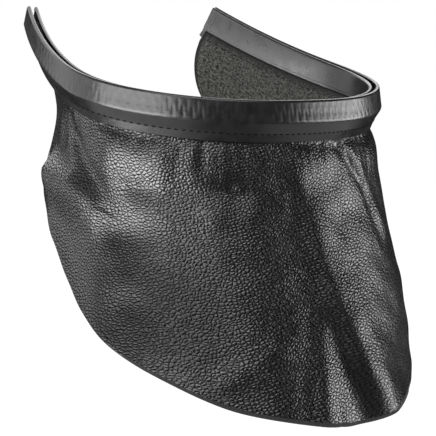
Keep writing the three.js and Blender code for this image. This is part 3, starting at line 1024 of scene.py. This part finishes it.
grid_shape = grain_side.shape[:2]
outer_index = np.arange(np.prod(grid_shape)).reshape(grid_shape)
within = np.zeros(grid_shape, dtype=bool)
within[1:-1, 1:-1] = True
inner_index = outer_index.copy()
inner_index[within] = outer_index.size + np.arange(within.sum())
bib_points = np.concatenate([grain_side.reshape(-1, 3), flesh_side[within]])
bib_flat = np.stack([np.broadcast_to(across[:, None], grid_shape), down], -1) * MM
bib_map = np.concatenate([bib_flat.reshape(-1, 2), bib_flat[within]])
bib_cells = np.concatenate([grid_cells(outer_index), grid_cells(inner_index)[:, ::-1]]).tolist()
at_border = (nearness[:-1, :-1] < 1) | (nearness[1:, 1:] < 1)
bib_finish = np.concatenate(
    [np.where(at_border, CUT, GRAIN).ravel(), np.where(at_border, CUT, SUEDE).ravel()]
)
bib_materials = [grain, suede, cut_edge]
bib = add_piece("leather_sheet", bib_points, bib_cells, bib_map, bib_materials, bib_finish)
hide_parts("leather_bib")

# %% [markdown]
# ## Stitches
# A lockstitch shows as a row of short dashes on both sides of the seam: on the fin outside and
# on the leather inside, where the nap nearly hides it. Each dash is a short tube that rises out
# of one needle hole and dips into the next, pulled part of the way into what it holds. All the
# tubes are one array of rings, so no stitch is placed by hand.

# %% Stitches
STITCH_PITCH = 4.3
STITCH_LENGTH = 2.7
THREAD_RADIUS = 0.32
STITCH_RINGS = 7
STITCH_SIDES = 6
STITCH_END_INSET = 5.0
STITCH_ARCH = 1.5
# Place of each row, as a share of the way down the fin's straight run, and its sink in radii.
OUTER_STITCH_SHARE = 0.04
INNER_STITCH_SHARE = 0.55
OUTER_SINK = 1.0
INNER_SINK = 2.0

stitch_count = int(2 * (HALF_LENGTH - STITCH_END_INSET) / STITCH_PITCH)
stitch_middle = (np.arange(stitch_count) - (stitch_count - 1) / 2) * STITCH_PITCH


def stitch_row(base, outward, sink):
    """Tubes along the seam. At a place a from minus one to one along a stitch its middle rises
    by the arch times the root of one less a squared, less its sink, both in radii. Around it a
    circle of the thread's radius is drawn in the section, so the tube follows the trim's bend."""
    a = np.linspace(-1, 1, STITCH_RINGS)[None, :, None]
    turn = np.linspace(0, 2 * np.pi, STITCH_SIDES + 1)[None, None, :-1]
    share = (stitch_middle[:, None, None] + a * STITCH_LENGTH / 2) / HALF_LENGTH
    sideways = np.array([-outward[1], outward[0]])
    rise = THREAD_RADIUS * (STITCH_ARCH * np.sqrt(1 - a**2) - sink)
    lift = rise + THREAD_RADIUS * np.cos(turn)
    reach = THREAD_RADIUS * np.sin(turn) + np.zeros_like(lift)
    out = base[0] + outward[0] * lift + sideways[0] * reach
    up = base[1] + outward[1] * lift + sideways[1] * reach
    return on_section(rim_axes(share + np.zeros_like(out)), out, up)


fin_down = (FIN_TIP - FIN_NECK) / np.linalg.norm(FIN_TIP - FIN_NECK)
fin_outwards = np.array([-fin_down[1], fin_down[0]])
outer_base = FIN_NECK + (FIN_TIP - FIN_NECK) * OUTER_STITCH_SHARE
tab_foot = FIN_INNER_TIP + fin_inwards * (SEAM_GAP + LEATHER)
tab_root = FIN_ROOT + fin_inwards * (SEAM_GAP + LEATHER)
inner_base = tab_root + (tab_foot - tab_root) * INNER_STITCH_SHARE
outer_tubes = stitch_row(outer_base, fin_outwards, OUTER_SINK)
inner_tubes = stitch_row(inner_base, fin_inwards, INNER_SINK)
tubes = np.concatenate([outer_tubes, inner_tubes])
tube_index = np.arange(tubes[..., 0].size).reshape(tubes.shape[:3])
wrapped = np.concatenate([tube_index, tube_index[..., :1]], axis=2)
tube_corners = [
    wrapped[:, :-1, :-1],
    wrapped[:, 1:, :-1],
    wrapped[:, 1:, 1:],
    wrapped[:, :-1, 1:],
]
tube_cells = np.stack(tube_corners, -1).reshape(-1, 4).tolist()
tube_ends = tube_index[:, 0].tolist() + tube_index[:, -1, ::-1].tolist()
ring_place = np.linspace(0, STITCH_LENGTH, STITCH_RINGS)[None, :, None]
side_place = np.linspace(0, 2 * np.pi * THREAD_RADIUS, STITCH_SIDES)[None, None]
tube_places = [np.broadcast_to(place, tubes.shape[:3]) for place in (ring_place, side_place)]
tube_map = np.stack(tube_places, -1).reshape(-1, 2) * MM
stitches = add_piece(
    "seam_stitches", tubes.reshape(-1, 3), tube_cells + tube_ends, tube_map, [thread]
)

# %% [markdown]
# ## What the sheet was cut to
# The piece that was cut is as wide as the seam is long, and its height is the longest way from
# the tab's edge down to the hem. The cut is a shield rather than a rectangle.

# %% [markdown]
# ## Lights
# Black leather shows its shape only where bright and dark places are reflected in it, so the lamps
# are placed by what each should do there. A wide softbox and a bright table on the left of the
# camera light the left of the trim and of the leather, with a dimmer wall and floor beside them. A
# narrower softbox far to the right, and a dim table under it, light the right side. The gap between
# left and right draws the dark hollow and the dark band on the trim. A fill high in front, a top
# softbox and a back softbox light the inner face, the lips and the far side.

# %% Lights
SOFTBOX_DISTANCE = 2000.0
# Softboxes: azimuth from the camera to the right, elevation, both spreads, and brightness.
SOFTBOXES = {
    "left_softbox": {"azimuth": -31, "elevation": 4, "wide": 78, "high": 30, "light": 6.9},
    "left_table": {"azimuth": -38, "elevation": -23, "wide": 70, "high": 26, "light": 11.0},
    "left_wall": {"azimuth": -103, "elevation": 8, "wide": 54, "high": 50, "light": 1.6},
    "left_floor": {"azimuth": -60, "elevation": -62, "wide": 90, "high": 44, "light": 1.0},
    "right_softbox": {"azimuth": 102, "elevation": -2, "wide": 47, "high": 22, "light": 6.2},
    "right_table": {"azimuth": 112, "elevation": -42, "wide": 56, "high": 36, "light": 0.6},
    "front_fill": {"azimuth": 18, "elevation": 40, "wide": 52, "high": 18, "light": 4.6},
    "top_softbox": {"azimuth": -5, "elevation": 66, "wide": 100, "high": 30, "light": 0.6},
    "back_softbox": {"azimuth": 190, "elevation": 40, "wide": 70, "high": 40, "light": 3.0},
}


def add_softbox(name, azimuth, elevation, wide, high, light):
    """A flat lamp that faces the part. Its sides are twice the distance times the tangent of
    half its spread, and its power is its brightness times its area times pi."""
    data = bpy.data.lights.new(name, "AREA")
    data.shape = "RECTANGLE"
    data.size = 2 * SOFTBOX_DISTANCE * MM * np.tan(np.radians(wide / 2))
    data.size_y = 2 * SOFTBOX_DISTANCE * MM * np.tan(np.radians(high / 2))
    data.energy = light * np.pi * data.size * data.size_y
    lamp = bpy.data.objects.new(name, data)
    scene.collection.objects.link(lamp)
    axes = camera_axes(CAMERA_AZIMUTH + np.radians(azimuth), np.radians(elevation), 0.0)
    place_with_axes(lamp, axes, (LOOK_AT + SOFTBOX_DISTANCE * axes[2]) * MM)
    lamp.visible_camera = False
    print(f"{name}: {data.size:.2f} by {data.size_y:.2f} m")


for lamp_name, lamp_values in SOFTBOXES.items():
    add_softbox(lamp_name, **lamp_values)

# %% [markdown]
# ## Floor and air
# The floor is a sheet of white paper lit on its own, so that it stays even. It lies well below the
# part, which hangs, and neither shades it nor is reflected in it. The air round the part is dim for
# everything but the camera, which sees it as white as the paper.

# %% Floor and air
FLOOR_HALF = 40.0
FLOOR_BELOW = 0.06
FLOOR_LIGHT = 1.0
PAPER_ROUGHNESS = 0.9
AIR_LIGHT = 0.03

paper, tree = new_material("white_paper_sweep")
paper_inputs = {
    "Base Color": linear("#303030"),
    "Roughness": PAPER_ROUGHNESS,
    "Emission Color": linear("#ffffff"),
    "Emission Strength": FLOOR_LIGHT,
}
add_shader(tree, paper_inputs)
floor_mesh = bpy.data.meshes.new("floor")
floor_height = cad_box[0][2] - FLOOR_BELOW
floor_corners = np.array([[-1, -1, 0], [1, -1, 0], [1, 1, 0], [-1, 1, 0]]) * FLOOR_HALF
floor_corners[:, 2] = floor_height
floor_mesh.from_pydata(floor_corners.tolist(), [], [[0, 1, 2, 3]])
floor_mesh.materials.append(paper)
floor = bpy.data.objects.new("floor", floor_mesh)
scene.collection.objects.link(floor)
floor.visible_glossy = False
floor.visible_diffuse = False
floor.visible_shadow = False

air = bpy.data.worlds.new("studio_air")
air.use_nodes = True
tree = air.node_tree
tree.nodes.clear()
seen = add_node(tree, "ShaderNodeLightPath").outputs["Is Camera Ray"]
air_inputs = {
    "Color": linear("#ffffff"),
    "Strength": between(tree, seen, 0.0, 1.0, AIR_LIGHT, FLOOR_LIGHT),
}
air_shader = add_node(tree, "ShaderNodeBackground", air_inputs).outputs["Background"]
add_node(tree, "ShaderNodeOutputWorld", {"Surface": air_shader})
scene.world = air
scene.view_settings.view_transform = "Standard"
print("floor at", round(floor_height, 3), "m")
